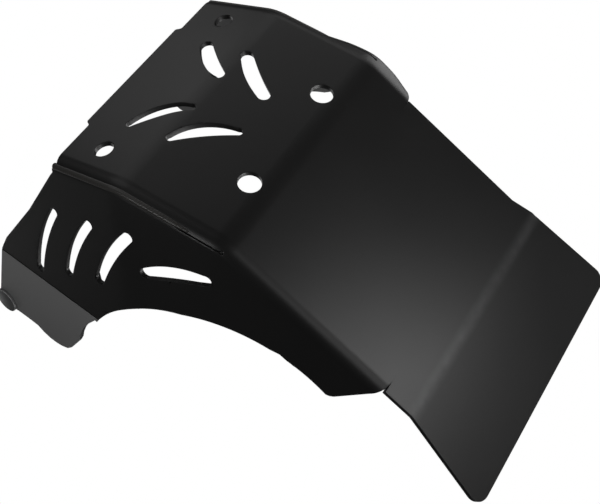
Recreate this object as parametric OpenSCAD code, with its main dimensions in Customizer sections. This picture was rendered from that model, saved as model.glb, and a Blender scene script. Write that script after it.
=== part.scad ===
// Motorcycle skid plate: one sheet folded into a cradle with two side wings,
// and a plain round badge on the left ear.
// Frame: +Z up, +Y to the vehicle's front, +X to its right. The origin is midway
// between the two rear bolt holes, on the underside.

/* [Sheet] */
// Thickness of the sheet
sheet_t = 5; // [4:0.5:6]
// Outer radius of the two long side folds
fold_r = 15; // [12:1:18]
// Half width of the flat floor, out to the start of a side fold
fold_x = 107.5; // [100:0.5:115]
// Outward lean of the wings from square to the floor, in degrees
wing_lean = 15; // [10:1:18]
// How far the rear side folds close in towards the rear edge, in degrees
rear_taper = 3; // [2:0.5:4]

/* [Floor] */
// Length of the rear panel, from the rear edge to the first floor bend
rear_len = 78; // [74:1:84]
// Length of the middle panel, between the first two floor bends
mid_len = 103; // [98:1:108]
// Length of the front panel, between the second bend and the lip bend
front_len = 209; // [200:1:215]
// Length of the front lip
lip_len = 98.5; // [85:0.5:105]
// Angle of the first floor bend
bend_1 = 20.5; // [18:0.5:23]
// Angle of the second floor bend
bend_2 = 28; // [26:0.5:30]
// Angle of the lip bend
bend_3 = 6; // [4:0.5:8]
// Outer radius of the first floor bend
bend_r_1 = 60; // [50:1:65]
// Outer radius of the second floor bend
bend_r_2 = 45; // [40:1:50]
// Outer radius of the lip bend
bend_r_3 = 70; // [50:1:80]
// Half width of the tab in the rear edge
tab_x = 65; // [60:1:70]
// How far the rear edge is set back beside the tab
tab_step = 5; // [3:0.5:6]
// How far the front panel's right edge stands out past the flat floor, at its flare
waist_step = 7; // [6:0.5:8]
// Where the flare of the right edge starts on the front panel
flare_y = 182; // [176:1:186]
// Length of the flare
flare_len = 23; // [15:1:25]
// How far the neck stands out past the flat floor on each side
neck_step = 11; // [10:0.5:12]
// How far the lip's front corners stand out past the neck
lip_flare = 16; // [12:0.5:20]
// How far the neck and the lip sit to the right of the floor's middle
lip_shift = 2; // [0:0.5:3]
// Corner radius of the lip
lip_corner_r = 12; // [6:1:14]

/* [Bolt holes] */
// Distance between the two rear bolt holes
rear_span = 176; // [170:1:180]
// Diameter of the rear bolt holes
rear_hole_d = 17; // [12:0.5:18]
// Distance from the rear edge to the rear bolt holes
rear_margin = 40; // [36:1:44]
// Distance between the two front bolt holes
front_span = 112; // [106:1:118]
// Diameter of the front bolt holes
front_hole_d = 20; // [14:0.5:21]
// Distance from the first bend to the front bolt holes
front_hole_y = 87; // [84:0.5:88]

/* [Floor slots] */
// Length of the left floor slots
left_slot_len = 60; // [54:1:64]
// Radius of the outer edge of the left floor slots
left_slot_r = 52; // [48:1:60]
// Length of the right floor slots
right_slot_len = 54; // [50:1:60]
// Radius of the outer edge of the right floor slots
right_slot_r = 92; // [80:1:110]
// Greatest width of a floor slot
floor_slot_w = 13; // [11:0.5:14]
// Radius of the inner edge of a floor slot
floor_slot_in_r = 210; // [180:10:300]
// Turn of the left floor slots, in degrees
left_slot_turn = -132.5; // [-136:0.5:-129]
// Turn of the right floor slots, in degrees
right_slot_turn = 130; // [127:0.5:133]

/* [Wing slots] */
// Length of the rear wing slot
wing_slot_1 = 99; // [90:1:102]
// Length of the second wing slot
wing_slot_2 = 84; // [76:1:86]
// Length of the third wing slot
wing_slot_3 = 77; // [70:1:80]
// Length of the front wing slot
wing_slot_4 = 67; // [60:1:70]
// Greatest width of the first three wing slots
wing_slot_w = 12.5; // [11:0.5:13]
// Greatest width of the front wing slot
wing_slot_4_w = 15.5; // [13:0.5:16]

/* [Wings] */
// Where the left wing ends on the front panel
left_wing_y = 177; // [170:1:180]
// Where the right wing ends on the front panel
right_wing_y = 49; // [40:1:60]
// How far the wings' front ends slope back between the floor and the top of the side fold
wing_slope = 6; // [4:0.5:8]
// Radius of the scoop in the upper edge of the wings
scoop_r = 150; // [140:1:152]
// Distance from the rear edge to the centre of the scoop
scoop_y = 116; // [112:1:120]
// Height of the centre of the scoop above the rear panel
scoop_z = 268; // [264:1:272]
// Inward turn of the ear from its wing, in degrees
ear_turn = 4; // [3:0.5:6]

/* [Seam] */
// Radius of the weld bead on the rear side folds
bead_r = 2.6; // [2:0.1:3]
// Place of the weld bead on the side fold, in degrees up from the floor
bead_deg = 61; // [58:1:64]
// Height of the weld bead above the sheet
bead_rise = 1; // [0.6:0.1:1.2]
// Width of the open seam in front of the weld bead
slit_w = 1; // [0.8:0.1:1.4]
// Where the weld bead ends on the middle panel
bead_end = 60; // [50:1:66]
// Radius of the relief hole at the seam's front end
relief_r = 2.5; // [2:0.1:3]

/* [Badge] */
// Diameter of the badge
badge_d = 27; // [24:0.5:28]
// Thickness of the badge
badge_t = 3; // [2:0.25:4]

/* [Hidden] */
$fn = 48;
// how far pieces of the sheet run into each other
lap = 0.03;
// how much thinner the bent pieces are on each face, so that they fit in the flat ones
ease = 0.08;
// how far the flat panels stay inside the start of the side folds
inset = 1;
// strips across a side fold in a floor bend
strips = 16;
// height of the foot of a wing above the straight side folds
foot_h = 6;
// height below a bend's centre where its wing facets start to meet
kink = 6;
arc_deg = 90 - wing_lean;
// tangent lengths of the floor bends
run_1 = bend_r_1 * tan(bend_1 / 2);
run_2 = bend_r_2 * tan(bend_2 / 2);
run_3 = bend_r_3 * tan(bend_3 / 2);
// reach of the cutting shapes
far = 260;
coat = "#26272a";
disc = "#3a3c40";
// half widths of the neck and the lip, to the right and to the left
neck_right = fold_x + neck_step + lip_shift;
neck_left = fold_x + neck_step - lip_shift;
lip_right = neck_right + lip_flare;
lip_left = neck_left + lip_flare;
// height of the end of a side fold above the floor
fold_top = fold_r * (1 - cos(arc_deg));
// places of the floor slots, from the middle of the rear edge
left_slots = [[-33.4, 58.7], [-33.4, 102.5]];
right_slots = [[37.5, 61], [39.2, 103.6]];
// wing slots: place, turn, length, radius of the outer and of the inner edge
rear_wing_slots = [
  [[-98, 80], 118.6, wing_slot_1, 150, 180],
  [[-55.5, 73.5], 124.7, wing_slot_2, 150, 180],
  [[-11, 69.5], 126.8, wing_slot_3, 130, 150]
];
front_wing_slot = [[68.5, 48.5], 152, wing_slot_4, 83, 500];
// wing outline on the rear facet, from the start of the first bend
wing_rear = [[-66.5, -1], [-68, 1], [-116, 54], [-167, 103], [-180.5, 120.5],
             [-54.7, 153.3], [-20, 133], [40, 133], [40, -1]];
wing_front = [[-60, -1], [-60, 135], [40, 82], [69.5, 54.5], [101, 40],
              [150, 39.5], [155, 38.2], [158.5, 33.5],
              [left_wing_y - wing_slope, 0], [left_wing_y - wing_slope, -1]];
wing_short = [[-60, -1], [-60, 135], [10, 90], [27, 45],
              [right_wing_y - wing_slope, 0], [right_wing_y - wing_slope, -1]];
ear_at = [-180.5, 120.5];
ear_deg = 14.6;
ear_pts = [[0, -1], [-14.5, 66], [-18, 82], [-6, 92.5], [7, 89.5], [37, 89],
           [45, 93.5], [54, 95], [63, 94.8], [72, 93], [80, 89.5], [86, 83],
           [98, 63], [101.5, 55], [103.5, 46], [107.5, 35], [113, 24],
           [126.5, 6], [130, -1]];
badge_at = [-6.7, 81.8];

// frames of the four floor panels, each at the corner where the panel starts
module on_rear() {
  translate([0, -rear_margin, 0])
    children();
}

module on_mid() {
  on_rear()
    translate([0, rear_len, 0])
      rotate([bend_1, 0, 0])
        children();
}

module on_front() {
  on_mid()
    translate([0, mid_len, 0])
      rotate([bend_2, 0, 0])
        children();
}

module on_lip() {
  on_front()
    translate([0, front_len, 0])
      rotate([bend_3, 0, 0])
        children();
}

// frame of the right wing facet: X through the sheet, Z up the wing
module on_wing() {
  translate([fold_x, 0, fold_r])
    rotate([0, wing_lean, 0])
      translate([fold_r - sheet_t, 0, 0])
        children();
}

// the rear fold closes in from the start of the first bend
module on_taper() {
  translate([fold_x, rear_len - run_1, 0])
    rotate([0, 0, -rear_taper])
      translate([-fold_x, 0, 0])
        children();
}

module on_ear() {
  on_rear()
    on_taper()
      on_wing()
        translate([sheet_t, ear_at[0], ear_at[1]])
          rotate([ear_deg, 0, 0])
            rotate([0, -ear_turn, 0])
              translate([-sheet_t, 0, 0])
                children();
}

// an outline in Y and Z, carried along X
module side_block(wide) {
  rotate([90, 0, 90])
    linear_extrude(wide)
      children();
}

// distance from the end of a panel to the line where its wing facet meets the next
function meet(r, angle, h) = (r - h) * tan(angle / 2);

function zone_end(y, r, angle, side) = [
  [y, -1],
  [y, r - kink],
  [y + side * meet(r, angle, r - kink), r - kink],
  [y + side * meet(r, angle, far), far]
];

module side_zone(pts) {
  translate([-far, 0, 0])
    side_block(2 * far)
      polygon(pts);
}

// point on the side fold after i of its strips
function arc_pt(r, i) = [fold_x + r * sin(i * arc_deg / strips),
                         fold_r - r * cos(i * arc_deg / strips)];

// point on the foot of the wing, above the end of the side fold
function wing_pt(r, up) = arc_pt(r, strips) + up * [sin(wing_lean), cos(wing_lean)];

// section of the floor from x outwards, the right side fold and the foot of the wing;
// the floor part thins towards x, so that it ends inside the flat panel
function side_section(x, foot, thin) = concat(
  [[x, ease]],
  [for (i = [0:strips]) arc_pt(fold_r - thin, i)],
  [wing_pt(fold_r - thin, foot), wing_pt(fold_r - sheet_t + thin, foot)],
  [for (i = [strips:-1:0]) arc_pt(fold_r - sheet_t + thin, i)],
  [[x, sheet_t - ease]]
);

module bead_section(thin) {
  translate([fold_x, fold_r])
    rotate(bead_deg - 90)
      translate([fold_r - bead_r + bead_rise, 0])
        circle(bead_r - thin, $fn = 20);
}

module fold_run(from, to, bead) {
  translate([0, to, 0])
    rotate([90, 0, 0])
      linear_extrude(to - from) {
        polygon(side_section(fold_x - 2 * inset, foot_h, 0));
        if (bead)
          bead_section(0);
      }
}

// a floor bend with its side folds, from the frame of the panel behind it
module floor_bend(len, r, run, angle, bead) {
  foot = (r - kink + inset / 2 - fold_top) / cos(wing_lean);
  translate([0, len - run, r])
    rotate([0, 90, 0]) {
      rotate_extrude(angle = angle, $fn = 90)
        translate([r, 0])
          rotate(90) {
            polygon(side_section(0, foot, ease));
            mirror([1, 0])
              polygon(side_section(0, foot, ease));
          }
      if (bead)
        for (s = [0, 1])
          rotate_extrude(angle = angle, $fn = 90)
            translate([r, 0])
              rotate(90)
                mirror([s, 0])
                  bead_section(ease);
    }
}

// a wing facet cut to an outline
module wing_plate(pts) {
  on_wing()
    side_block(sheet_t)
      polygon(pts);
}

// outer and inner edge of a slot at a distance x from its middle
function slot_out(x, wide, r) = wide / 2 - r + sqrt(r * r - x * x);

function slot_in(x, wide, r) = -wide / 2 - r + sqrt(r * r - x * x);

// a slot between two arcs, with round ends a little wider than its sides
module crescent(len, wide, out_r, in_r) {
  end_w = slot_out(len / 2, wide, out_r) - slot_in(len / 2, wide, in_r);
  x = (len - end_w) / 2;
  top = slot_out(x, wide, out_r);
  low = slot_in(x, wide, in_r);
  intersection() {
    translate([0, wide / 2 - out_r])
      circle(out_r, $fn = 120);
    difference() {
      translate([-x, -wide])
        square([2 * x, 2 * wide]);
      translate([0, -wide / 2 - in_r])
        circle(in_r, $fn = 180);
    }
  }
  for (s = [-1, 1])
    translate([s * x, (top + low) / 2])
      circle((top - low) / 2 + 2 * lap);
}

module floor_slot(at, turn, len, out_r) {
  translate([at[0], at[1], -2 * sheet_t])
    rotate(turn)
      linear_extrude(8 * sheet_t)
        crescent(len, floor_slot_w, out_r, floor_slot_in_r);
}

module wing_slot(slot, wide) {
  on_wing()
    translate([-sheet_t, 0, 0])
      side_block(3 * sheet_t)
        translate(slot[0])
          rotate(slot[1])
            crescent(slot[2], wide, slot[3], slot[4]);
}

module floor_sheet() {
  rear_x = fold_x - inset - (rear_len - run_1) * tan(rear_taper);
  on_rear()
    linear_extrude(sheet_t)
      polygon([[-rear_x, 0], [rear_x, 0],
               [fold_x - inset, rear_len - run_1 + lap],
               [inset - fold_x, rear_len - run_1 + lap]]);
  on_rear()
    floor_bend(rear_len, bend_r_1, run_1, bend_1, true);
  on_mid()
    translate([inset - fold_x, run_1 - lap, 0])
      cube([2 * (fold_x - inset), mid_len - run_1 - run_2 + 2 * lap, sheet_t]);
  on_mid()
    floor_bend(mid_len, bend_r_2, run_2, bend_2, false);
  on_front()
    linear_extrude(sheet_t)
      polygon([[inset - fold_x, run_2 - lap], [fold_x - inset, run_2 - lap],
               [fold_x - inset, right_wing_y - inset],
               [fold_x + waist_step / 2, right_wing_y - inset],
               [fold_x + waist_step, flare_y],
               [neck_right, flare_y + flare_len], [neck_right, front_len - run_3 + lap],
               [-neck_left, front_len - run_3 + lap], [-neck_left, left_wing_y - inset],
               [inset - fold_x, left_wing_y - inset]]);
  on_front()
    translate([0, front_len - run_3, bend_r_3])
      rotate([0, 90, 0])
        rotate_extrude(angle = bend_3, $fn = 90)
          translate([bend_r_3 - sheet_t + ease, -neck_left + ease])
            square([sheet_t - 2 * ease, neck_left + neck_right - 2 * ease]);
  on_lip()
    lip();
}

// rounded front corner of the lip on the right, from its side edge to its front edge
function lip_corner(neck, x, n = 8) = let (
  flare = atan((x - neck) / lip_len),
  y = lip_len - lip_corner_r,
  at = [neck + y * tan(flare) - lip_corner_r / cos(flare), y]
) [for (i = [0:n]) at + lip_corner_r * [cos(i * (90 + flare) / n - flare),
                                        sin(i * (90 + flare) / n - flare)]];

module lip() {
  right = lip_corner(neck_right, lip_right);
  left = lip_corner(neck_left, lip_left);
  linear_extrude(sheet_t)
    polygon(concat([[-neck_left, run_3 - lap], [neck_right, run_3 - lap]], right,
                   [for (i = [len(left) - 1:-1:0]) [-left[i][0], left[i][1]]]));
}

module side_sheet(front_pts, front_y) {
  rear_end = rear_len - run_1 + lap;
  mid_start = run_1 - lap;
  mid_end = mid_len - run_2 + lap;
  front_start = run_2 - lap;
  on_rear() {
    intersection() {
      side_zone([[0, -1], [rear_end, -1], [rear_end, 30], [0, 30]]);
      on_taper()
        fold_run(-90, 2, true);
    }
    intersection() {
      side_zone(concat([[-far, far], [-far, -1]], zone_end(rear_end, bend_r_1, bend_1, 1)));
      on_taper()
        wing_plate(wing_rear);
    }
  }
  on_mid() {
    fold_run(mid_start, bead_end, true);
    fold_run(bead_end - lap, mid_end, false);
    intersection() {
      side_zone(concat(zone_end(mid_end, bend_r_2, bend_2, 1),
                       [for (i = [3:-1:0]) zone_end(mid_start, bend_r_1, bend_1, -1)[i]]));
      wing_plate([[-60, 5], [200, 5], [200, 170], [-60, 170]]);
    }
  }
  on_front() {
    difference() {
      fold_run(front_start, front_y, false);
      translate([-far, 0, 0])
        side_block(2 * far)
          polygon([[front_y, -1], [front_y, 0], [front_y - wing_slope, fold_top],
                   [front_y - 2 * wing_slope, 2 * fold_top], [front_y + 1, 2 * fold_top],
                   [front_y + 1, -1]]);
    }
    intersection() {
      side_zone(concat([[far, far], [far, -1]], zone_end(front_start, bend_r_2, bend_2, -1)));
      wing_plate(front_pts);
    }
  }
}

module seam_cut() {
  on_mid()
    translate([fold_x, 0, fold_r])
      rotate([0, 90 - bead_deg, 0])
        translate([fold_r - sheet_t - 2, bead_end, -slit_w / 2])
          cube([sheet_t + 4, mid_len - bead_end, slit_w]);
  on_mid()
    translate([fold_x, mid_len, fold_r])
      rotate([0, 90 - bead_deg, 0])
        translate([fold_r - sheet_t - 3, 0, 0])
          rotate([0, 90, 0])
            cylinder(r = relief_r, h = sheet_t + 6);
}

module side_cuts() {
  seam_cut();
  on_rear()
    on_taper()
      for (slot = rear_wing_slots)
        wing_slot(slot, wing_slot_w);
  on_mid()
    wing_slot(front_wing_slot, wing_slot_4_w);
  // the rear edge beside the tab, up to the weld bead
  on_rear()
    translate([0, 0, -sheet_t])
      linear_extrude(sheet_t + fold_top * 0.7)
        polygon([[tab_x, -1], [tab_x, 0], [tab_x + 3, tab_step], [fold_x + 6, tab_step],
                 [fold_x + 12, 2 * tab_step], [fold_x + 20, 2 * tab_step],
                 [fold_x + 20, -1]]);
}

module bolt_hole(d) {
  translate([0, 0, -sheet_t])
    cylinder(d = d, h = 3 * sheet_t);
}

module skid_plate() {
  color(coat)
    difference() {
      union() {
        floor_sheet();
        side_sheet(wing_short, right_wing_y);
        mirror([1, 0, 0])
          side_sheet(wing_front, left_wing_y);
        ears();
      }
      side_cuts();
      mirror([1, 0, 0])
        side_cuts();
      // the scoop in the upper edge of both wings
      on_rear()
        translate([-far, scoop_y, scoop_z])
          rotate([0, 90, 0])
            cylinder(r = scoop_r, h = 2 * far, $fn = 240);
      for (s = [-1, 1])
        translate([s * rear_span / 2, 0, 0])
          bolt_hole(rear_hole_d);
      on_mid()
        for (s = [-1, 1])
          translate([s * front_span / 2, front_hole_y, 0])
            bolt_hole(front_hole_d);
      on_rear() {
        for (at = left_slots)
          floor_slot(at, left_slot_turn, left_slot_len, left_slot_r);
        for (at = right_slots)
          floor_slot(at, right_slot_turn, right_slot_len, right_slot_r);
      }
    }
}

module ear() {
  on_ear()
    side_block(sheet_t)
      polygon(ear_pts);
}

module ears() {
  ear();
  mirror([1, 0, 0])
    ear();
}

module round_badge() {
  color(disc)
    mirror([1, 0, 0])
      on_ear()
        translate([sheet_t, badge_at[0], badge_at[1]])
          rotate([0, 90, 0])
            cylinder(d = badge_d, h = badge_t);
}

skid_plate();
round_badge();
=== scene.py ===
import bpy
from math import sin, cos, tan, atan, pi, radians, degrees, sqrt, exp
from mathutils import Matrix, Vector, Euler


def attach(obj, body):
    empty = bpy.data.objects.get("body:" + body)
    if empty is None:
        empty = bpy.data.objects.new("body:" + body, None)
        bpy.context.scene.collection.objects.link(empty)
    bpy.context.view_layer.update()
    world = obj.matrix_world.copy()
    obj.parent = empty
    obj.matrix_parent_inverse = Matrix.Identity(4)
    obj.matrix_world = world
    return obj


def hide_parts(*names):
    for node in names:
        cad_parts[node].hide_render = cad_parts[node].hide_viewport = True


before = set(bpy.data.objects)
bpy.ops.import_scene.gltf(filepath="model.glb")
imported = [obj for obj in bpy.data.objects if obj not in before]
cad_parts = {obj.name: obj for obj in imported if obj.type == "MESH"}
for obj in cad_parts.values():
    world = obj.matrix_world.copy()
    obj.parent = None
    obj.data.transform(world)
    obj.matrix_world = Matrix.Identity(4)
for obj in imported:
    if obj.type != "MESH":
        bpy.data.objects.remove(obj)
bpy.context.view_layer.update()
mm = 0.001


# general helpers
def deselectAll():
    if bpy.context.mode != "OBJECT":
        bpy.ops.object.mode_set(mode="OBJECT")
    bpy.ops.object.select_all(action="DESELECT")


def pickOnly(obj):
    deselectAll()
    obj.select_set(True)
    bpy.context.view_layer.objects.active = obj


def activeAs(name):
    obj = bpy.context.active_object
    obj.name = obj.data.name = name
    return obj


def applyModifiers(obj):
    pickOnly(obj)
    for modifier in list(obj.modifiers):
        bpy.ops.object.modifier_apply(modifier=modifier.name)


def joinInto(first, others):
    deselectAll()
    for obj in others:
        obj.select_set(True)
    first.select_set(True)
    bpy.context.view_layer.objects.active = first
    bpy.ops.object.join()
    return first


def faceOutwards():
    bpy.ops.object.mode_set(mode="EDIT")
    bpy.ops.mesh.select_all(action="SELECT")
    bpy.ops.mesh.normals_make_consistent(inside=False)
    bpy.ops.object.mode_set(mode="OBJECT")


def mergeDoubles(obj, gap):
    pickOnly(obj)
    bpy.ops.object.mode_set(mode="EDIT")
    bpy.ops.mesh.select_all(action="SELECT")
    bpy.ops.mesh.remove_doubles(threshold=gap)
    bpy.ops.object.mode_set(mode="OBJECT")
    faceOutwards()


# a grid whose corner points are put in place by a rule, in millimetres
def shapedGrid(name, columns, rows, place):
    bpy.ops.mesh.primitive_grid_add(x_subdivisions=columns, y_subdivisions=rows, size=2)
    grid = activeAs(name)
    for vertex in grid.data.vertices:
        i = round((vertex.co.x + 1) / 2 * columns)
        j = round((vertex.co.y + 1) / 2 * rows)
        vertex.co = Vector(place(i, j)) * mm
    return grid


# the folded sheet, in millimetres and degrees
plate = {
    "thick": 5, "foldR": 15, "flatX": 107.5, "lean": 15, "taper": 3, "rearMargin": 40,
    "bends": [(78, 20.5, 60), (181, 28, 45), (390, 6, 70)],   # place along the floor, angle, radius
    "floorEnd": 490.5, "leftWingEnd": 358, "rightWingEnd": 230,
    "wingSlope": 6, "slopeRun": 30,  # how far a fold's end slopes back, and from how far before it
    "waistStep": 7, "flareFrom": 363, "flareTo": 386, "neckStep": 11,
    "lipFlare": 16, "lipShift": 2, "lipCornerR": 12,
    "tabX": 65, "tabStep": 5,        # half width of the rear tab, and how far it sticks out
    "rearHoles": (88, 40, 8.5), "frontHoles": (56, 87, 10),   # half span, place on the panel, radius
    "straightStep": 6, "bendStep": 2, "foldSteps": 12, "wingSteps": 44,
    "wingLines": 48,                 # tilt of the mesh lines that run up the wings
    "wingReach": (330, (150, 50, 150), (200, 150, 100)),   # length of those lines, and from where it falls
    "bulge": 8, "bulgeAt": 182, "bulgeSpread": 48, "bulgeHeight": 45,
    "edgeRound": 0.6, "sharpFrom": 50,
    "bendHighlightWide": 9, "bendHighlightTone": 0.9,   # painted highlight: a lighter streak along the bend of the lip
}
foldTop = plate["foldR"] * (1 - cos(radians(90 - plate["lean"])))
foldOut = plate["foldR"] * sin(radians(90 - plate["lean"]))
panels = []                          # where each floor panel starts: place, y, z, angle


def layOutPanels():
    place, y, z, angle = 0, -plate["rearMargin"], 0, 0
    for corner, turn, _ in plate["bends"] + [(plate["floorEnd"], 0, 0)]:
        panels.append((place, y, z, radians(angle)))
        y += (corner - place) * cos(radians(angle))
        z += (corner - place) * sin(radians(angle))
        place, angle = corner, angle + turn


layOutPanels()
firstRun = plate["bends"][0][2] * tan(radians(plate["bends"][0][1] / 2))
taperY = plate["bends"][0][0] - firstRun - plate["rearMargin"]


# point of the floor's section at a place along it, and deeper inside by depth
def floorPoint(place, depth):
    for (corner, turn, radius), (start, y, z, angle) in zip(plate["bends"], panels):
        run = radius * tan(radians(turn / 2))
        if abs(place - corner) < run:
            along = corner - run - start
            centreY = y + along * cos(angle) - radius * sin(angle)
            centreZ = z + along * sin(angle) + radius * cos(angle)
            now = angle + radians(turn) * (place - corner + run) / (2 * run)
            reach = radius - depth
            return centreY + reach * sin(now), centreZ - reach * cos(now)
    start, y, z, angle = [p for p in panels if p[0] <= place + 1e-6][-1]
    along = place - start
    return (y + along * cos(angle) - depth * sin(angle),
            z + along * sin(angle) + depth * cos(angle))


# how deep a point of the side view lies inside the floor
def depthAt(y, z):
    for (corner, turn, radius), (start, y0, z0, angle) in zip(plate["bends"][:2], panels):
        run = radius * tan(radians(turn / 2))
        along = corner - run - start
        centreY = y0 + along * cos(angle) - radius * sin(angle)
        centreZ = z0 + along * sin(angle) + radius * cos(angle)
        offY, offZ = y - centreY, centreZ - z
        far = sqrt(offY * offY + offZ * offZ)
        if 1e-6 < far <= radius and offZ > 0:
            now = atan(offY / offZ)
            if angle <= now <= angle + radians(turn):
                return radius - far
    return min(-(y - y0) * sin(angle) + (z - z0) * cos(angle) for _, y0, z0, angle in panels[:3])


def outAt(depth):
    if depth < foldTop:
        return sqrt(plate["foldR"] ** 2 - (plate["foldR"] - depth) ** 2)
    return foldOut + (depth - foldTop) * tan(radians(plate["lean"]))


def taperIn(y):
    return max(0, taperY - y) * tan(radians(plate["taper"]))


def smooth(x):
    x = min(max(x, 0), 1)
    return x * x * (3 - 2 * x)


def rowPlaces():
    places = {0, plate["floorEnd"], plate["leftWingEnd"], plate["rightWingEnd"],
              plate["flareFrom"], plate["flareTo"]}
    cuts = [0]
    for corner, turn, radius in plate["bends"]:
        run = radius * tan(radians(turn / 2))
        cuts += [corner - run, corner + run]
    cuts.append(plate["floorEnd"])
    for k in range(len(cuts) - 1):
        step = plate["bendStep"] if k % 2 else plate["straightStep"]
        count = max(2, round((cuts[k + 1] - cuts[k]) / step))
        places |= {cuts[k] + (cuts[k + 1] - cuts[k]) * i / count for i in range(count + 1)}
    tidy = []
    for place in sorted(places):
        if not tidy or place - tidy[-1] > 0.5:
            tidy.append(place)
        elif place in (plate["leftWingEnd"], plate["rightWingEnd"]):
            tidy[-1] = place
    return tidy


places = rowPlaces()


def centreStrip():
    columns = 16

    def place(i, j):
        y, z = floorPoint(places[j], 0)
        return (2 * i / columns - 1) * (plate["flatX"] - taperIn(y)), y, z
    return shapedGrid("centre_strip", columns, len(places) - 1, place)


# fold and wing of one side, up to where the wing ends on the floor
def foldedSide(side):
    end = plate["rightWingEnd"] if side > 0 else plate["leftWingEnd"]
    rows = [p for p in places if p <= end + 1e-6]
    tilt = radians(plate["wingLines"])

    def place(i, j):
        row = rows[j]
        setBack = plate["wingSlope"] * smooth((row - end) / plate["slopeRun"] + 1)
        if i <= plate["foldSteps"]:
            turn = radians(90 - plate["lean"]) * i / plate["foldSteps"]
            depth = plate["foldR"] * (1 - cos(turn))
            y, z = floorPoint(row - setBack * depth / foldTop, depth)
            out, up = plate["foldR"] * sin(turn), 0
            floorY = floorPoint(row, 0)[0]
        else:
            reach = plate["wingReach"]
            reach = reach[0] - sum(less * smooth((row - start) / run) for start, run, less in reach[1:])
            up = reach * (i - plate["foldSteps"]) / plate["wingSteps"]
            y, z = floorPoint(row - setBack, foldTop)
            y -= up * sin(tilt)
            z += up * cos(tilt)
            out = outAt(max(depthAt(y, z), foldTop))
            floorY = y
            depth = foldTop
        if side > 0:
            wide = exp(-((row - plate["bulgeAt"]) / plate["bulgeSpread"]) ** 4)
            out += plate["bulge"] * wide * smooth(depth / foldTop) * exp(-up / plate["bulgeHeight"])
        return side * (plate["flatX"] - taperIn(floorY) + out), y, z
    return shapedGrid("folded_side", plate["foldSteps"] + plate["wingSteps"], len(rows) - 1, place)


# flat edge of the floor beside the fold's end, the neck and the lip
def flatSide(side):
    start = plate["rightWingEnd"] if side > 0 else plate["leftWingEnd"]
    rows = [p for p in places if p >= start - 1e-6]
    columns = 4
    lipStart = plate["bends"][2][0]
    neck = plate["flatX"] + plate["neckStep"] + side * plate["lipShift"]

    def edge(row):
        if row > lipStart:
            return neck + plate["lipFlare"] * (row - lipStart) / (plate["floorEnd"] - lipStart)
        if side < 0:
            return neck
        waist = plate["flatX"] + plate["waistStep"] * (0.5 + 0.5 * (row - start) / (plate["flareFrom"] - start))
        blend = (row - plate["flareFrom"]) / (plate["flareTo"] - plate["flareFrom"])
        blend = min(max(blend, 0), 1)
        return waist if blend == 0 else plate["flatX"] + plate["waistStep"] + (
            neck - plate["flatX"] - plate["waistStep"]) * blend

    def place(i, j):
        y, z = floorPoint(rows[j], 0)
        return side * (plate["flatX"] + (edge(rows[j]) - plate["flatX"]) * i / columns), y, z
    return shapedGrid("flat_side", columns, len(rows) - 1, place)


# frames of the panels and of the wings, as matrices in metres
def panelFrame(k):
    place, y, z, angle = panels[k]
    return Matrix.Translation(Vector((0, y, z)) * mm) @ Matrix.Rotation(angle, 4, "X")


def taperFrame():
    turnAt = Matrix.Translation(Vector((plate["flatX"], taperY + plate["rearMargin"], 0)) * mm)
    back = Matrix.Translation(Vector((-plate["flatX"], 0, 0)) * mm)
    return panelFrame(0) @ turnAt @ Matrix.Rotation(radians(-plate["taper"]), 4, "Z") @ back


def wingFrame(base, side):
    foldCentre = Matrix.Translation(Vector((plate["flatX"], 0, plate["foldR"])) * mm)
    sheet = Matrix.Translation(Vector((plate["foldR"] - plate["thick"], 0, 0)) * mm)
    mirror = Matrix.Diagonal((side, 1, 1, 1))
    return mirror @ base @ foldCentre @ Matrix.Rotation(radians(plate["lean"]), 4, "Y") @ sheet


# turns (along, up, through) of a wing outline to the wing frame's (Y, Z, X)
throughSheet = Matrix(((0, 0, 1, 0), (1, 0, 0, 0), (0, 1, 0, 0), (0, 0, 0, 1)))


# a cutting block with a drawn outline, from low to high in its frame
def cutter(name, outline, place, low, high):
    bpy.ops.mesh.primitive_circle_add(vertices=len(outline), radius=1, fill_type="NGON")
    block = activeAs(name)
    for vertex, (a, b) in zip(block.data.vertices, outline):
        vertex.co = Vector((a, b, low)) * mm
    bpy.ops.object.mode_set(mode="EDIT")
    bpy.ops.mesh.select_all(action="SELECT")
    bpy.ops.mesh.extrude_region_move(TRANSFORM_OT_translate={"value": (0, 0, (high - low) * mm)})
    bpy.ops.object.mode_set(mode="OBJECT")
    block.data.transform(place)
    faceOutwards()
    return block


def ringPoints(radius, count, centre=(0, 0)):
    return [(centre[0] + radius * cos(2 * pi * i / count), centre[1] + radius * sin(2 * pi * i / count))
            for i in range(count)]


# outline of a slot between two arcs, with round ends
def slotOutline(at, turn, length, wide, outR, inR, steps=16):
    def edge(x, radius, side):
        return side * wide / 2 - radius + sqrt(radius * radius - x * x)
    endWide = edge(length / 2, outR, 1) - edge(length / 2, inR, -1)
    x = (length - endWide) / 2
    top, low = edge(x, outR, 1), edge(x, inR, -1)
    points = [(-x + 2 * x * i / steps, edge(-x + 2 * x * i / steps, outR, 1)) for i in range(steps + 1)]
    points += [(x + (top - low) / 2 * cos(a), (top + low) / 2 + (top - low) / 2 * sin(a))
               for a in [radians(90 - 180 * i / 10) for i in range(1, 10)]]
    points += [(x - 2 * x * i / steps, edge(x - 2 * x * i / steps, inR, -1)) for i in range(steps + 1)]
    points += [(-x + (top - low) / 2 * cos(a), (top + low) / 2 + (top - low) / 2 * sin(a))
               for a in [radians(270 - 180 * i / 10) for i in range(1, 10)]]
    c, s = cos(radians(turn)), sin(radians(turn))
    return [(at[0] + a * c - b * s, at[1] + a * s + b * c) for a, b in points]


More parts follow.
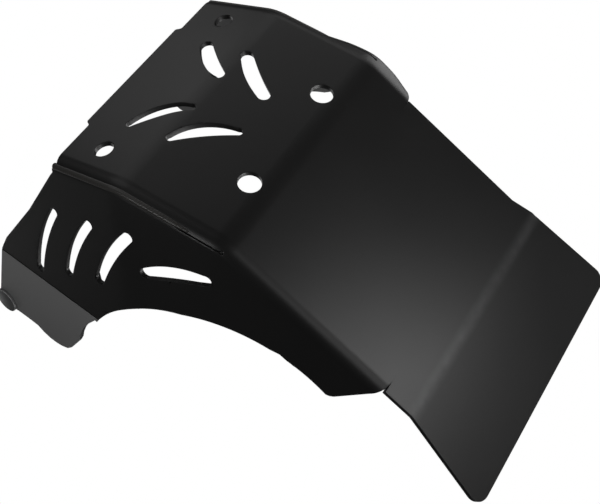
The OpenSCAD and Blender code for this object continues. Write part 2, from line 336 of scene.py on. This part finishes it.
slots = {
    "floorWide": 13, "floorInR": 210,
    "left": [((-33.4, 58.7), -132.5, 60, 52), ((-33.4, 102.5), -132.5, 60, 52)],
    "right": [((37.5, 61), 130, 54, 92), ((39.2, 103.6), 130, 54, 92)],
    "wingRear": [((-105.1, 81.2), 119.8, 96, 9.3, 217, 273), ((-60.7, 74.4), 123.7, 90, 10.3, 180, 252),
                 ((-15.2, 68.6), 128.4, 88, 11.4, 187, 287)],
    "wingFront": ((65.3, 47.5), 151.1, 73, 14.3, 111, 551),
    "rightWindows": [((-115.5, 95.5), 105, 80, 34, 200, 260), ((-71, 114), 103, 104, 32, 260, 320)],
}
wings = {
    "rear": [(-66.5, -6), (-66.5, -1), (-68, 1), (-116, 54), (-167, 103), (-180.5, 120.5)],
    "earAt": (-180.5, 120.5), "earTilt": 14.6, "earTurn": 4,
    "ear": [(-14.5, 66), (-17.6, 79), (-16.5, 85), (-12.5, 90), (-6, 92.5), (7, 89.5), (22, 88.8), (37, 89),
            (45, 93), (54, 95), (63, 94.8), (72, 93), (80, 89.5), (86, 83), (98, 63),
            (101.5, 55), (103.5, 46), (107.5, 35), (113, 24), (126.5, 6)],
    "front": [(40, 82), (69.5, 54.5), (101, 40), (149, 39.5), (153, 38.7), (156.3, 36.6), (158.5, 33.5),
              (171.2, -0.5)],
    "short": [(10, 90), (27, 45), (43.2, -0.5)],
    "frontReach": 200,
    "groove": (2, 1.4),              # radius of the crease's groove, and how far out its centre lies
    "scoop": (116, 268, 150),        # place from the rear edge, height, radius
    "creaseLong": (-20, 150), "creaseNear": 20,   # the faces that the crease cuts
}


def earOutline():
    tilt = radians(wings["earTilt"])
    a0, b0 = wings["earAt"]
    return [(a0 + a * cos(tilt) - b * sin(tilt), b0 + a * sin(tilt) + b * cos(tilt)) for a, b in wings["ear"]]


# the crease of an ear, with x outwards and y along it
def creaseFrame(side):
    a0, b0 = wings["earAt"]
    return wingFrame(taperFrame(), side) @ Matrix.Translation(
        Vector((plate["thick"], a0, b0)) * mm) @ Matrix.Rotation(radians(wings["earTilt"]), 4, "X")


def sideCutters(side):
    rear = wingFrame(taperFrame(), side) @ throughSheet
    middle = wingFrame(panelFrame(1), side) @ throughSheet
    front = wingFrame(panelFrame(2), side) @ throughSheet
    far = 420
    cuts = [cutter("cut_rear", wings["rear"] + earOutline() + [(-20, 190), (-20, far), (-far, far), (-far, -6)],
                   rear, -60, 60)]
    outline = wings["front"] if side < 0 else wings["short"]
    inScoop = (20, 130) if side < 0 else (0, 130)
    reach = wings["frontReach"]
    cuts.append(cutter("cut_front", [inScoop] + outline + [(reach, -0.5), (reach, far), (inScoop[0], far)],
                       front, -6, 40 if side < 0 else 30))
    # the right wing is open where the photographed floor slots look through it
    rearSlots = slots["wingRear"] if side < 0 else slots["rightWindows"] + slots["wingRear"][2:]
    cuts += [cutter("cut_slot", slotOutline(*slot), rear, -12, 14) for slot in rearSlots]
    cuts.append(cutter("cut_slot", slotOutline(*slots["wingFront"]), middle, -12, 14))
    radius, out = wings["groove"]
    alongCrease = creaseFrame(side) @ Matrix(((1, 0, 0, 0), (0, 0, 1, 0), (0, 1, 0, 0), (0, 0, 0, 1)))
    cuts.append(cutter("cut_groove", ringPoints(radius, 24, (out, 0)), alongCrease, -25, 150))
    return cuts


seam = {"degrees": 61, "beadDegrees": 52, "slitWide": 1, "slitFrom": 60, "reliefR": 1.5,
        "beadR": 3, "beadRise": 1.5, "ripple": 2.6, "rippleHeight": 0.05,
        "runOut": 36, "beadFrom": 1, "endRound": 2,   # how the bead thins out at its front and rear end
        "beadSides": 16, "beadStep": 0.45}


def seamFrame(base, side):
    foldCentre = Matrix.Translation(Vector((plate["flatX"], 0, plate["foldR"])) * mm)
    mirror = Matrix.Diagonal((side, 1, 1, 1))
    return mirror @ base @ foldCentre @ Matrix.Rotation(radians(90 - seam["degrees"]), 4, "Y")


def seamCutters(side):
    place = seamFrame(panelFrame(1), side) @ throughSheet
    half = seam["slitWide"] / 2
    length = plate["bends"][1][0] - plate["bends"][0][0]
    slit = [(seam["slitFrom"], -half), (length, -half), (length, half), (seam["slitFrom"], half)]
    low, high = plate["foldR"] - plate["thick"] - 3, plate["foldR"] + 12
    return [cutter("cut_slit", slit, place, low, high),
            cutter("cut_relief", ringPoints(seam["reliefR"], 20, (length, 0)), place, low, high)]


def floorCutters():
    cuts = []
    halfSpan, place, radius = plate["rearHoles"]
    for side in (-1, 1):
        cuts.append(cutter("cut_hole", ringPoints(radius, 48, (side * halfSpan, place)), panelFrame(0), -9, 14))
    halfSpan, place, radius = plate["frontHoles"]
    for side in (-1, 1):
        cuts.append(cutter("cut_hole", ringPoints(radius, 48, (side * halfSpan, place)), panelFrame(1), -9, 14))
    for at, turn, length, outR in slots["left"] + slots["right"]:
        outline = slotOutline(at, turn, length, slots["floorWide"], outR, slots["floorInR"])
        cuts.append(cutter("cut_slot", outline, panelFrame(0), -9, 32))
    x, step = plate["tabX"], plate["tabStep"]
    for side in (-1, 1):
        # the rear edge beside its tab, with a small round on both corners
        outer = plate["flatX"]
        edge = [(x - 2, -0.4), (x - 0.6, 0.1), (x + 0.6, 1.1), (x + 2, step - 1.2), (x + 3.2, step - 0.2),
                (x + 4.8, step), (outer + 4, step), (outer + 8, step + 0.8), (outer + 11, step + 3.2),
                (outer + 12, step + 6), (outer + 24, step + 6), (outer + 24, -9), (x - 2, -9)]
        cuts.append(cutter("cut_tab", [(side * a, b) for a, b in edge], panelFrame(0), -5, foldTop * 0.7))
    # round the two front corners of the lip
    lip = plate["floorEnd"] - plate["bends"][2][0]
    for side in (-1, 1):
        neck = plate["flatX"] + plate["neckStep"] + side * plate["lipShift"]
        flare = atan(plate["lipFlare"] / lip)
        radius = plate["lipCornerR"]
        cx = neck + (lip - radius) * tan(flare) - radius / cos(flare)
        arc = [(cx + radius * cos(a), lip - radius + radius * sin(a))
               for a in [(90 - (90 + degrees(flare)) * i / 12) * pi / 180 for i in range(13)]]
        outline = [(cx, lip + 20)] + arc + [(cx + 60, arc[-1][1]), (cx + 60, lip + 20)]
        cuts.append(cutter("cut_corner", [(side * a, b) for a, b in outline], panelFrame(3), -9, 14))
    y, z, radius = wings["scoop"]
    along = Matrix.Translation(Vector((0, y - plate["rearMargin"], z)) * mm) @ throughSheet
    cuts.append(cutter("cut_scoop", ringPoints(radius, 160), along, -300, 300))
    return cuts


def cutAll(sheet, cuts):
    group = bpy.data.collections.new("cutting_blocks")
    bpy.context.scene.collection.children.link(group)
    for block in cuts:
        for owner in list(block.users_collection):
            owner.objects.unlink(block)
        group.objects.link(block)
    modifier = sheet.modifiers.new("cut", "BOOLEAN")
    modifier.operation = "DIFFERENCE"
    modifier.solver = "EXACT"
    modifier.operand_type = "COLLECTION"
    modifier.collection = group
    applyModifiers(sheet)
    for block in cuts:
        bpy.data.objects.remove(block)
    bpy.data.collections.remove(group)


# the rear ear of a wing turns inwards along a crease
def turnEar(sheet, side):
    crease = creaseFrame(side)
    back = crease.inverted()
    near, (low, high) = wings["creaseNear"], wings["creaseLong"]
    normal = (crease.to_3x3() @ Vector((0, 0, 1))).normalized()
    pickOnly(sheet)
    for face in sheet.data.polygons:
        centre = back @ face.center / mm
        face.select = abs(centre.x) < near and abs(centre.z) < near and low < centre.y < high
    bpy.ops.object.mode_set(mode="EDIT")
    bpy.ops.mesh.bisect(plane_co=crease.translation, plane_no=normal, threshold=0.00001)
    bpy.ops.object.mode_set(mode="OBJECT")
    turn = Matrix.Rotation(radians(-wings["earTurn"]), 4, "Y")
    for vertex in sheet.data.vertices:
        local = back @ vertex.co
        if local.z > 0 and abs(local.x) < 2 * near * mm and vertex.co.x * side > 0 and vertex.co.y < 0:
            vertex.co = crease @ turn @ local


def makeSheet():
    parts = [foldedSide(-1), foldedSide(1), flatSide(-1), flatSide(1)]
    sheet = joinInto(centreStrip(), parts)
    mergeDoubles(sheet, 0.00002)
    lowest = min(sheet.data.polygons, key=lambda face: abs(face.center.x) + abs(face.center.y))
    if lowest.normal.z > 0:
        bpy.ops.object.mode_set(mode="EDIT")
        bpy.ops.mesh.select_all(action="SELECT")
        bpy.ops.mesh.flip_normals()
        bpy.ops.object.mode_set(mode="OBJECT")
    modifier = sheet.modifiers.new("thickness", "SOLIDIFY")
    modifier.thickness = plate["thick"] * mm
    modifier.offset = -1
    modifier.use_even_offset = True
    applyModifiers(sheet)
    print("sheet folded:", len(sheet.data.polygons), "faces")
    cuts = floorCutters()
    for side in (-1, 1):
        cuts += sideCutters(side) + seamCutters(side)
    cutAll(sheet, cuts)
    print("sheet cut:", len(sheet.data.polygons), "faces")
    for side in (-1, 1):
        turnEar(sheet, side)
    mergeDoubles(sheet, 0.00015)
    modifier = sheet.modifiers.new("edges", "BEVEL")
    modifier.width = plate["edgeRound"] * mm
    modifier.segments = 2
    modifier.limit_method = "ANGLE"
    modifier.angle_limit = radians(plate["sharpFrom"])
    modifier.use_clamp_overlap = False
    modifier.miter_outer = "MITER_ARC"
    applyModifiers(sheet)
    pickOnly(sheet)
    bpy.ops.object.shade_smooth_by_angle(angle=radians(35))
    modifier = sheet.modifiers.new("even_shading", "WEIGHTED_NORMAL")
    modifier.keep_sharp = True
    applyModifiers(sheet)
    sheet.name = sheet.data.name = "folded_sheet"
    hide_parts("skid_plate")
    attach(sheet, "root")
    return sheet


# weld bead along the seam of one side
def makeBead(side):
    around, start = seam["beadSides"], seam["beadFrom"]
    end = plate["bends"][0][0] + seam["slitFrom"] + seam["runOut"] / 2
    count = int((end - start) / seam["beadStep"])
    angle = radians(seam["beadDegrees"])
    reach = plate["foldR"] - seam["beadR"] + seam["beadRise"]

    def place(i, j):
        row = start + (end - start) * j / count
        turn = 2 * pi * i / around
        fromEnd = min(max(min((row - start) / seam["endRound"], (end - row) / seam["runOut"]), 0), 1)
        thin = sqrt(fromEnd * (2 - fromEnd) + 0.000001)
        wave = cos(2 * pi * row / seam["ripple"] + 1.1 * sin(turn) ** 2)
        radius = (seam["beadR"] + seam["rippleHeight"] * wave) * thin
        out = reach * sin(angle) + radius * (cos(turn) * sin(angle) + sin(turn) * cos(angle))
        depth = plate["foldR"] - reach * cos(angle) + radius * (-cos(turn) * cos(angle) + sin(turn) * sin(angle))
        y, z = floorPoint(row, depth)
        return side * (plate["flatX"] - taperIn(floorPoint(row, 0)[0]) + out), y, z
    bead = shapedGrid("weld_bead_left" if side < 0 else "weld_bead_right", around, count, place)
    mergeDoubles(bead, 0.00001)
    pickOnly(bead)
    bpy.ops.object.shade_smooth()
    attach(bead, "root")
    return bead


# the round badge on the left ear
badge = {"at": (-6.7, 81.8), "radius": 13.5, "height": 3, "rim": 1.5, "groove": 0.8, "grooveWide": 0.6,
         "ringWide": 1.4, "ring": (8.8, 10.2), "softEdge": 0.35}


def earFrame(side):
    back = Matrix.Translation(Vector((-plate["thick"], 0, 0)) * mm)
    return creaseFrame(side) @ Matrix.Rotation(radians(-wings["earTurn"]), 4, "Y") @ back


def topFaceOnly(obj, height):
    pickOnly(obj)
    for face in obj.data.polygons:
        face.select = face.normal.z > 0.9 and abs(face.center.z - height) < 0.00001 and (
            sqrt(face.center.x ** 2 + face.center.y ** 2) < 0.0001)
    bpy.ops.object.mode_set(mode="EDIT")


def makeBadge():
    bpy.ops.mesh.primitive_cylinder_add(vertices=96, radius=badge["radius"] * mm, depth=badge["height"] * mm,
                                        location=(0, 0, 0))
    disc = activeAs("badge_disc")
    topFaceOnly(disc, badge["height"] / 2 * mm)
    bpy.ops.mesh.inset(thickness=badge["rim"] * mm)
    for wide, rise in [(badge["grooveWide"], -badge["groove"]), (badge["grooveWide"], 0),
                       (badge["grooveWide"], badge["groove"] * 0.7), (badge["ringWide"], 0), (3, 0),
                       (0.4, -0.3), (0.8, 0), (0.4, 0.3), (3.2, 0.15)]:
        bpy.ops.mesh.inset(thickness=wide * mm)
        bpy.ops.transform.translate(value=(0, 0, rise * mm))
    bpy.ops.object.mode_set(mode="OBJECT")
    modifier = disc.modifiers.new("soft_edge", "BEVEL")
    modifier.width = badge["softEdge"] * mm
    modifier.segments = 3
    modifier.limit_method = "ANGLE"
    modifier.angle_limit = radians(60)
    applyModifiers(disc)
    disc.data.transform(Matrix.Translation((0, 0, (plate["thick"] + badge["height"] / 2) * mm)))
    disc.data.transform(Matrix.Translation(Vector((badge["at"][0], badge["at"][1], 0)) * mm))
    disc.data.transform(earFrame(-1) @ throughSheet)
    faceOutwards()
    bpy.ops.object.shade_smooth_by_angle(angle=radians(30))
    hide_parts("round_badge")
    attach(disc, "root")
    return disc


sheet = makeSheet()
beads = [makeBead(-1), makeBead(1)]
print("weld beads laid")
disc = makeBadge()
print("badge made")


# materials
def addNoise(nodes, links, where, scale, detail=2):
    noise = nodes.new("ShaderNodeTexNoise")
    noise.inputs["Scale"].default_value = scale
    noise.inputs["Detail"].default_value = detail
    links.new(where.outputs["Object"], noise.inputs["Vector"])
    return noise


def addMath(nodes, links, operation, first, second):
    node = nodes.new("ShaderNodeMath")
    node.operation = operation
    for source, socket in zip((first, second), node.inputs):
        if isinstance(source, bpy.types.NodeSocket):
            links.new(source, socket)
        else:
            socket.default_value = source
    return node


def addMix(nodes, links, amount, under, over):
    mix = nodes.new("ShaderNodeMixRGB")
    links.new(amount, mix.inputs["Fac"])
    for source, socket in zip((under, over), (mix.inputs["Color1"], mix.inputs["Color2"])):
        if isinstance(source, bpy.types.NodeSocket):
            links.new(source, socket)
        else:
            socket.default_value = source + (1,)
    return mix


def addRange(nodes, links, value, low, high):
    span = nodes.new("ShaderNodeMapRange")
    span.inputs["From Min"].default_value, span.inputs["From Max"].default_value = low
    span.inputs["To Min"].default_value, span.inputs["To Max"].default_value = high
    links.new(value, span.inputs["Value"])
    return span


def coatMaterial(name, dark, light, roughLow, roughHigh, wearAndSheenTone):
    material = bpy.data.materials.new(name)
    material.use_nodes = True
    nodes, links = material.node_tree.nodes, material.node_tree.links
    shader = nodes["Principled BSDF"]
    where = nodes.new("ShaderNodeTexCoord")
    # broad clouds in tone and gloss, as a sprayed coat has
    cloud = addNoise(nodes, links, where, 9, 4).outputs["Fac"]
    rough = addRange(nodes, links, cloud, (0, 1), (roughLow, roughHigh))
    links.new(rough.outputs["Result"], shader.inputs["Roughness"])
    colour = addMix(nodes, links, cloud, dark, light)
    # rubbed edges
    shape = nodes.new("ShaderNodeNewGeometry")
    worn = addRange(nodes, links, shape.outputs["Pointiness"], (0.53, 0.64), (0, 1))
    patchy = addNoise(nodes, links, where, 60).outputs["Fac"]
    wear = addMath(nodes, links, "MULTIPLY", worn.outputs["Result"], patchy)
    rubbed = addMix(nodes, links, wear.outputs["Value"], colour.outputs["Color"], wearAndSheenTone)
    # painted highlight: a lighter streak along the bend of the lip
    bendY, bendZ = floorPoint(plate["bends"][2][0], 0)
    slope = panels[2][3] + radians(plate["bends"][2][1] / 2)
    across = nodes.new("ShaderNodeVectorMath")
    across.operation = "DOT_PRODUCT"
    across.inputs[1].default_value = (0, cos(slope), sin(slope))
    links.new(where.outputs["Object"], across.inputs[0])
    bendAt = (bendY * cos(slope) + bendZ * sin(slope)) * mm
    fromBend = addMath(nodes, links, "SUBTRACT", across.outputs["Value"], bendAt)
    near = addMath(nodes, links, "ABSOLUTE", fromBend.outputs["Value"], 0)
    bendHighlight = addRange(nodes, links, near.outputs["Value"], (0, plate["bendHighlightWide"] * mm), (plate["bendHighlightTone"], 0))
    bendHighlight.interpolation_type = "SMOOTHSTEP"
    amount = addMath(nodes, links, "MULTIPLY", bendHighlight.outputs["Result"], patchy)
    # the painted highlight on the lip's bend uses the same light tone as the worn edges
    highlighted = addMix(nodes, links, amount.outputs["Value"], rubbed.outputs["Color"], wearAndSheenTone)
    links.new(highlighted.outputs["Color"], shader.inputs["Base Color"])
    # the fine orange peel of the coat
    peel = addNoise(nodes, links, where, 900)
    bump = nodes.new("ShaderNodeBump")
    bump.inputs["Strength"].default_value = 0.3
    bump.inputs["Distance"].default_value = 0.00005
    links.new(peel.outputs["Fac"], bump.inputs["Height"])
    links.new(bump.outputs["Normal"], shader.inputs["Normal"])
    return material


blackCoat = coatMaterial("satin_black_coat", (0.011, 0.011, 0.0115), (0.018, 0.0175, 0.017), 0.34, 0.44,
                         (0.085, 0.085, 0.086))
# painted light: a light grey for the ears' outer faces, which are really the same black coat
earPaintedLightCoat = coatMaterial("ear_painted_light_grey", (0.30, 0.30, 0.302), (0.34, 0.34, 0.34), 0.45, 0.55,
                       (0.2, 0.2, 0.2))
# the bead's lighter colour is a painted highlight for the light a glossy bead catches; its lower roughness is its
# own glossier coat
beadSheenCoat = coatMaterial("weld_bead_painted_sheen", (0.050, 0.048, 0.045), (0.072, 0.069, 0.065), 0.24, 0.34,
                        (0.09, 0.088, 0.085))
badgeCoat = coatMaterial("badge_grey", (0.14, 0.14, 0.142), (0.17, 0.17, 0.172), 0.28, 0.36,
                         (0.16, 0.16, 0.16))
badgeRim = coatMaterial("badge_rim", (0.62, 0.62, 0.622), (0.68, 0.68, 0.68), 0.25, 0.34,
                        (0.3, 0.3, 0.3))
for piece, coats in [(sheet, (blackCoat, earPaintedLightCoat)), (beads[0], (beadSheenCoat,)), (beads[1], (beadSheenCoat,)),
                     (disc, (badgeCoat, badgeRim))]:
    piece.data.materials.clear()
    for coat in coats:
        piece.data.materials.append(coat)
# the outer faces of the ears get a lighter grey: painted light standing in for the light the ears catch, on a
# sheet that is black all over
for side in (-1, 1):
    toEar = earFrame(side).inverted()
    for face in sheet.data.polygons:
        local = toEar @ face.center
        outward = (toEar.to_3x3() @ face.normal).x
        onFace = local.z > 0 and abs(local.x - plate["thick"] * mm) < 0.4 * mm
        if onFace and outward > 0.8 and local.y < wings["creaseLong"][1] * mm and face.center.x * side > 0:
            face.material_index = 1
# the raised ring and rim of the badge are lighter
toEar = earFrame(-1).inverted()
lightRings = [badge["ring"], (badge["radius"] - badge["rim"], badge["radius"])]
for face in disc.data.polygons:
    local = toEar @ face.center / mm
    reach = sqrt((local.y - badge["at"][0]) ** 2 + (local.z - badge["at"][1]) ** 2)
    onTop = local.x > plate["thick"] + badge["height"] * 0.8
    if onTop and any(inner < reach < outer for inner, outer in lightRings):
        face.material_index = 1
print("materials set")


# stage, lamps and camera
stage = {"floorZ": -0.001, "ambient": 0.01, "gloss": 0.03, "floorGlow": 0.35, "fadeFrom": 0.3, "fadeTo": 0.9}


def makeStage():
    bpy.ops.mesh.primitive_plane_add(size=14, location=(0, 0, stage["floorZ"]))
    floor = activeAs("studio_floor")
    paint = bpy.data.materials.new("studio_white")
    paint.use_nodes = True
    nodes, links = paint.node_tree.nodes, paint.node_tree.links
    shader = nodes["Principled BSDF"]
    shader.inputs["Base Color"].default_value = (0.8, 0.8, 0.8, 1)
    shader.inputs["Roughness"].default_value = 0.8
    shader.inputs["Emission Color"].default_value = (1, 1, 1, 1)
    shader.inputs["Emission Strength"].default_value = stage["floorGlow"]
    # the floor shows from above only, so the photographed underside stays in view
    path, side = nodes.new("ShaderNodeLightPath"), nodes.new("ShaderNodeNewGeometry")
    shown = addMath(nodes, links, "SUBTRACT", path.outputs["Is Camera Ray"], side.outputs["Backfacing"])
    shown.use_clamp = True
    clear, mix = nodes.new("ShaderNodeBsdfTransparent"), nodes.new("ShaderNodeMixShader")
    links.new(shown.outputs["Value"], mix.inputs["Fac"])
    links.new(clear.outputs["BSDF"], mix.inputs[1])
    links.new(mix.outputs["Shader"], nodes["Material Output"].inputs["Surface"])
    # away from the object the floor fades into the white surround
    where, far = nodes.new("ShaderNodeTexCoord"), nodes.new("ShaderNodeVectorMath")
    far.operation = "LENGTH"
    links.new(where.outputs["Object"], far.inputs[0])
    fade = addRange(nodes, links, far.outputs["Value"], (stage["fadeFrom"], stage["fadeTo"]), (0, 1))
    white, blend = nodes.new("ShaderNodeEmission"), nodes.new("ShaderNodeMixShader")
    links.new(fade.outputs["Result"], blend.inputs["Fac"])
    links.new(shader.outputs["BSDF"], blend.inputs[1])
    links.new(white.outputs["Emission"], blend.inputs[2])
    links.new(blend.outputs["Shader"], mix.inputs[2])
    floor.data.materials.append(paint)
    world = bpy.data.worlds.new("studio")
    bpy.context.scene.world = world
    world.use_nodes = True
    nodes, links = world.node_tree.nodes, world.node_tree.links
    background = nodes["Background"]
    background.inputs["Color"].default_value = (1, 1, 1, 1)
    # white where it is seen, faint where the coat mirrors it, so that the lamps shape the object
    path = nodes.new("ShaderNodeLightPath")
    seen = addMath(nodes, links, "MAXIMUM", path.outputs["Is Camera Ray"], path.outputs["Is Transmission Ray"])
    glossy = addMath(nodes, links, "MULTIPLY_ADD", path.outputs["Is Glossy Ray"], stage["gloss"])
    glossy.inputs[2].default_value = stage["ambient"]
    level = addMath(nodes, links, "MAXIMUM", seen.outputs["Value"], glossy.outputs["Value"])
    links.new(level.outputs["Value"], background.inputs["Strength"])


def addLamp(name, place, aim, size, power):
    bpy.ops.object.light_add(type="AREA", location=place)
    lamp = bpy.context.active_object
    lamp.name = name
    lamp.data.shape = "RECTANGLE"
    lamp.data.size, lamp.data.size_y = size
    lamp.data.energy = power
    lamp.rotation_euler = (Vector(aim) - Vector(place)).to_track_quat("-Z", "Y").to_euler()
    return lamp


camera = {"place": (-0.46501, 0.59114, -0.51716), "turn": (-137.597, -13.67095, 57.17827), "lens": 61.956}


def makeCamera():
    data = bpy.data.cameras.new("camera")
    obj = bpy.data.objects.new("camera", data)
    bpy.context.scene.collection.objects.link(obj)
    obj.location = camera["place"]
    obj.rotation_euler = Euler([radians(a) for a in camera["turn"]], "XYZ")
    data.sensor_width = 36
    data.lens = camera["lens"]
    data.clip_start = 0.01
    bpy.context.scene.camera = obj


# soft boxes: place, what they point at, size, power
lamps = {
    "front_low": ((-0.556, 1.463, -0.271), (0, 0.13, 0.1), (0.8, 0.8), 2.7),
    "right_side": ((1.485, 0.325, 0.134), (0, 0.13, 0.1), (0.8, 0.8), 3.6),
    "under_rear": ((-0.375, -0.455, -1.235), (0, 0.13, 0.1), (0.8, 0.8), 1.4),
    "rear": ((-0.186, -1.293, 0.543), (0, 0.13, 0.1), (0.8, 0.8), 1.4),
    "under_right": ((0.72, -0.425, -1.098), (0, 0.13, 0.1), (0.8, 0.8), 1.3),
    "right_low": ((1.231, 0.02, -0.752), (0, 0.13, 0.1), (0.8, 0.8), 1.2),
    "lip_glow": ((0.083, 0.707, 0.014), (-0.1, 0.3, 0.24), (0.25, 0.25), 0.78),
    "rear_glow": ((0.402, -0.548, -0.447), (0, -0.02, 0), (0.4, 0.4), 0.27),
    "ear_glow": ((-0.46, 0, -0.06), (-0.155, -0.12, 0.22), (0.1, 0.1), 0.22),
    "top_rear": ((0.1, -1.1, 1.1), (0, 0.13, 0.1), (0.8, 0.8), 1.5),
    "top_key": ((-0.1, 0.95, 1.4), (0, 0.13, 0.1), (0.9, 0.9), 12),
    "top_fill": ((0.9, 0.7, 1.1), (0, 0.13, 0.1), (0.8, 0.8), 7),
}
makeStage()
for name, (spot, aim, size, power) in lamps.items():
    addLamp(name, spot, aim, size, power)
makeCamera()
bpy.context.scene.view_settings.view_transform = "Standard"
print("stage, lamps and camera set")
